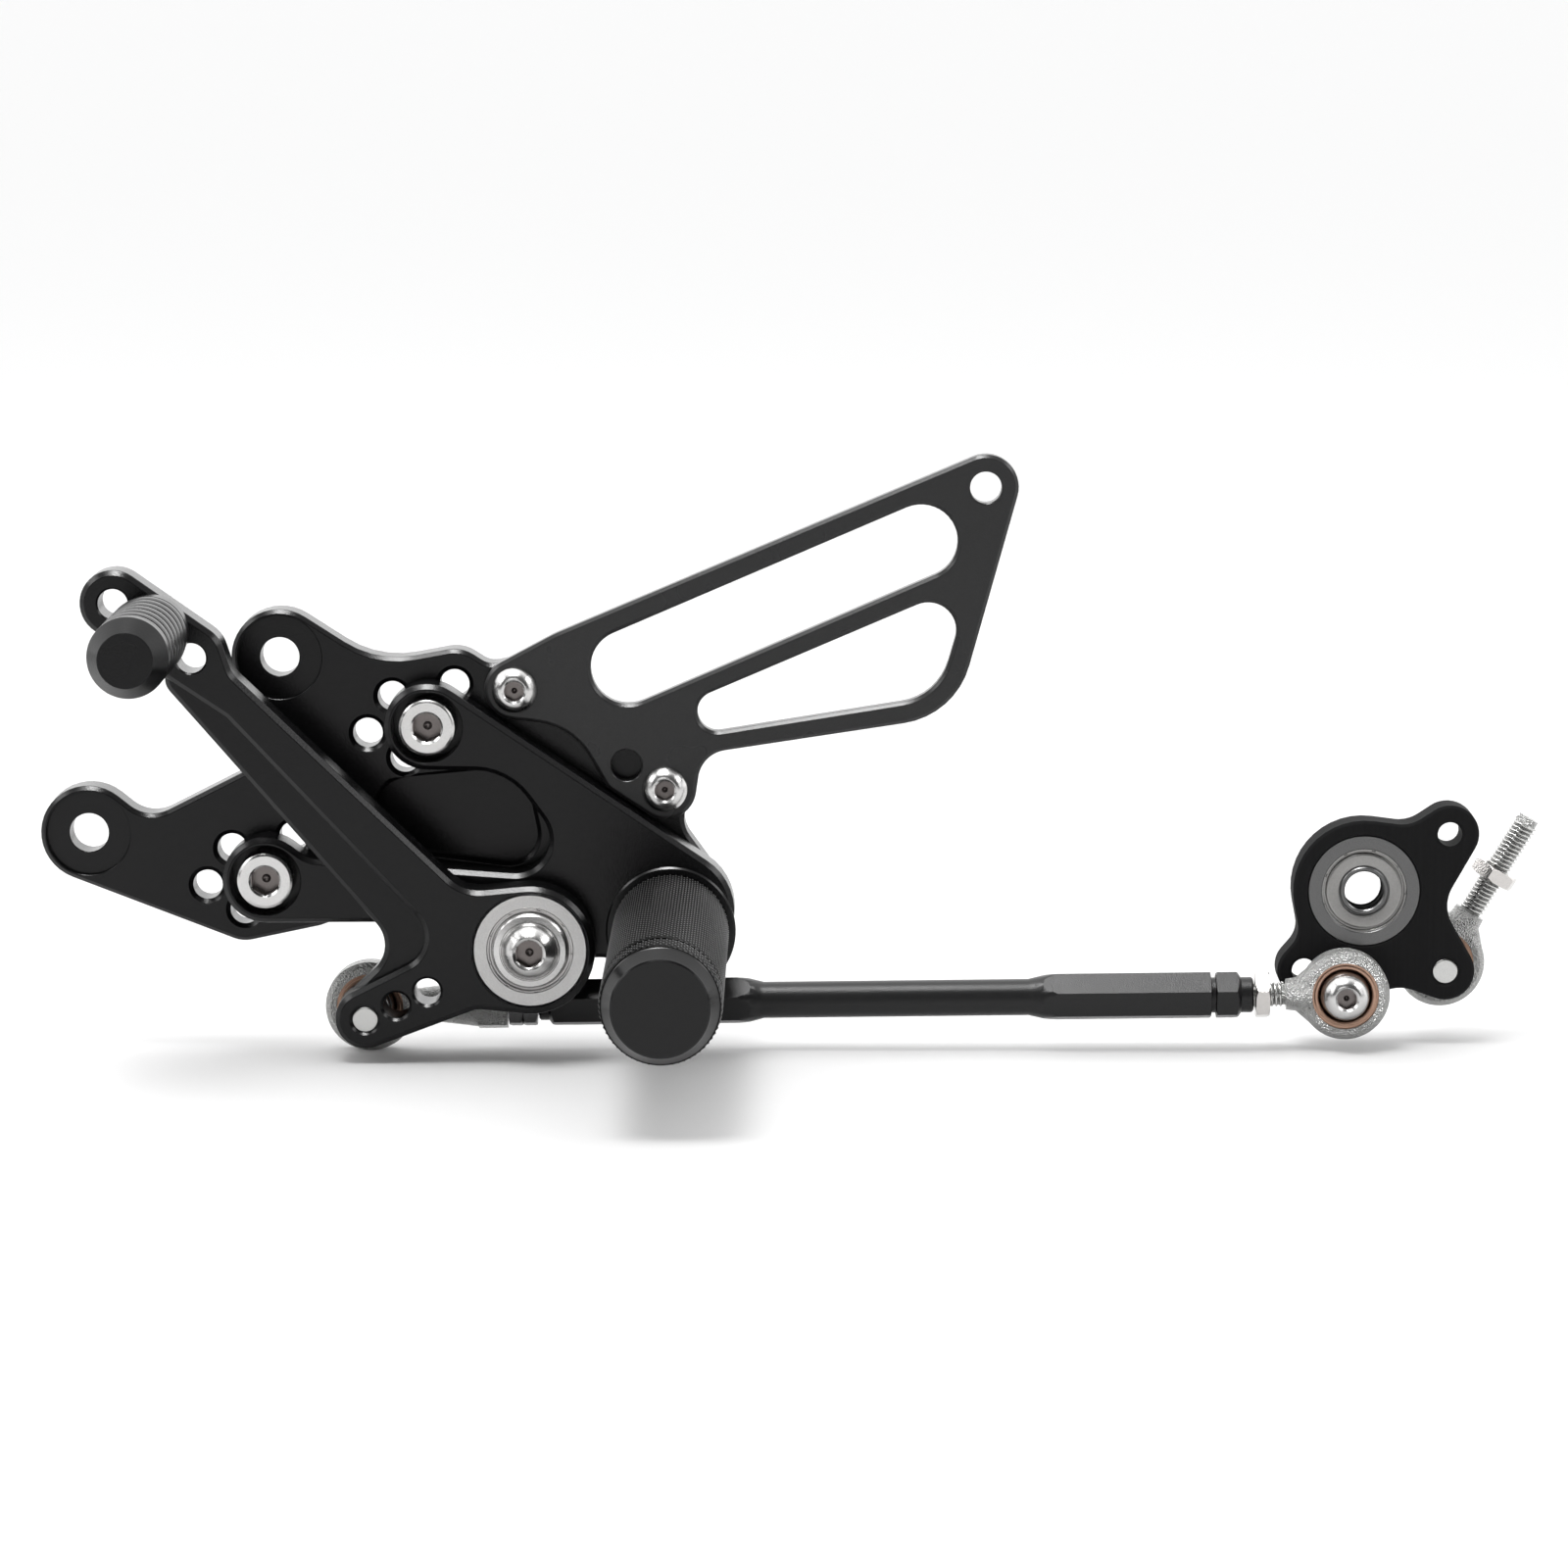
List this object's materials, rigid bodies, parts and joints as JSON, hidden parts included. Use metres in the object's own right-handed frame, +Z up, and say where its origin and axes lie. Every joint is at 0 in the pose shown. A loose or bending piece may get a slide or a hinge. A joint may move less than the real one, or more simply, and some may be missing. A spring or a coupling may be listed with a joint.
{
  "type": "motorcycle rear set footrest, left shift side",
  "caption": "Black footrest plate for a motorcycle with a knurled footpeg, heel guard and shift lever, and a linkage rod with rod ends to a relay plate.",
  "frame": {"origin": "axis of the upper frame bore on the face of the base plate that meets the frame", "axes": "+X to the back of the bike, +Y from the rider's foot into the bike, +Z up"},
  "size_m": [0.3474, 0.1238, 0.1379],
  "materials": {
    "plate_black": "satin black anodised, milled",
    "guard_black": "satin black anodised sheet",
    "peg_black": "black anodised, knurled",
    "toe_black": "glossy black anodised, turned",
    "stainless": "stainless steel",
    "bearing_steel": "ground bearing steel",
    "ball_chrome": "hard chromed ball",
    "zinc": "forged and zinc plated",
    "bronze": "sintered bronze",
    "nut_grey": "dark zinc plated",
    "rod_grey": "bead-blasted, dark anodised"
  },
  "bodies": {
    "root": {"base_plate": "plate_black", "peg_plate": "plate_black", "heel_guard": "guard_black", "plate_bolts": "stainless", "guard_screws": "stainless", "pivot_bush": "stainless", "pivot_screw": "stainless", "lever_bearing_inner_ring": "bearing_steel", "footpeg_flange": "peg_black", "footpeg_barrel": "peg_black", "footpeg_end_cap": "peg_black", "footpeg_stud": "stainless"},
    "shift_lever_body": {"shift_lever": "plate_black", "toe_peg": "toe_black", "toe_peg_screw": "stainless", "lever_bearing_outer_ring": "bearing_steel", "lever_bearing_shields": "bearing_steel", "front_link_screw": "stainless", "front_link_spacer": "stainless", "front_eye_ball": "ball_chrome"},
    "lever_bearing_rollers": {"lever_bearing_balls": "bearing_steel", "lever_bearing_cage": "bearing_steel"},
    "link_rod_body": {"front_eye": "zinc", "front_eye_liner": "bronze", "front_link_stud": "stainless", "front_jam_nuts": "nut_grey", "linkage_rod": "rod_grey", "rear_jam_nut": "nut_grey", "rear_eye": "zinc", "rear_eye_liner": "bronze"},
    "relay_body": {"relay_plate": "plate_black", "relay_bearing_outer_ring": "bearing_steel", "relay_bearing_shields": "bearing_steel", "relay_bearing_balls": "bearing_steel", "relay_bearing_cage": "bearing_steel", "rear_eye_ball": "ball_chrome", "rear_link_screw": "stainless", "stud_eye_ball": "ball_chrome", "stud_link_screw": "stainless"},
    "relay_inner_body": {"relay_bearing_inner_ring": "bearing_steel"},
    "stud_body": {"stud_eye": "zinc", "stud_eye_liner": "bronze", "stud_jam_nut": "nut_grey"}
  },
  "joints": [
    {"name": "lever_pivot", "type": "hinge", "parent": "root", "child": "shift_lever_body", "pos_m": [0.0581, -0.0255, -0.0644], "axis": [0, 1, 0], "range_deg": [-4, 4]},
    {"name": "lever_bearing_roll", "type": "hinge", "parent": "root", "child": "lever_bearing_rollers", "pos_m": [0.0581, -0.0255, -0.0644], "axis": [0, 1, 0], "range_deg": [-3, 3]},
    {"name": "front_eye_swing", "type": "hinge", "parent": "shift_lever_body", "child": "link_rod_body", "pos_m": [0.0204, -0.012, -0.0804], "axis": [0, 1, 0], "range_deg": [-4, 4]},
    {"name": "rear_eye_swing", "type": "hinge", "parent": "link_rod_body", "child": "relay_body", "pos_m": [0.24508, -0.012, -0.07766], "axis": [0, 1, 0], "range_deg": [-2.5, 2.5]},
    {"name": "relay_bearing_turn", "type": "hinge", "parent": "relay_body", "child": "relay_inner_body", "pos_m": [0.24978, -0.0032, -0.05446], "axis": [0, 1, 0], "continuous": true},
    {"name": "stud_eye_swing", "type": "hinge", "parent": "relay_body", "child": "stud_body", "pos_m": [0.26888, 0.006, -0.07336], "axis": [0, 1, 0], "range_deg": [-5, 50]}
  ],
  "couplings": [
    {"joint": "lever_bearing_roll", "follows": "lever_pivot", "ratio": 0.62857},
    {"joint": "front_eye_swing", "follows": "lever_pivot", "ratio": -0.84625},
    {"joint": "rear_eye_swing", "follows": "lever_pivot", "ratio": 0.51772}
  ]
}
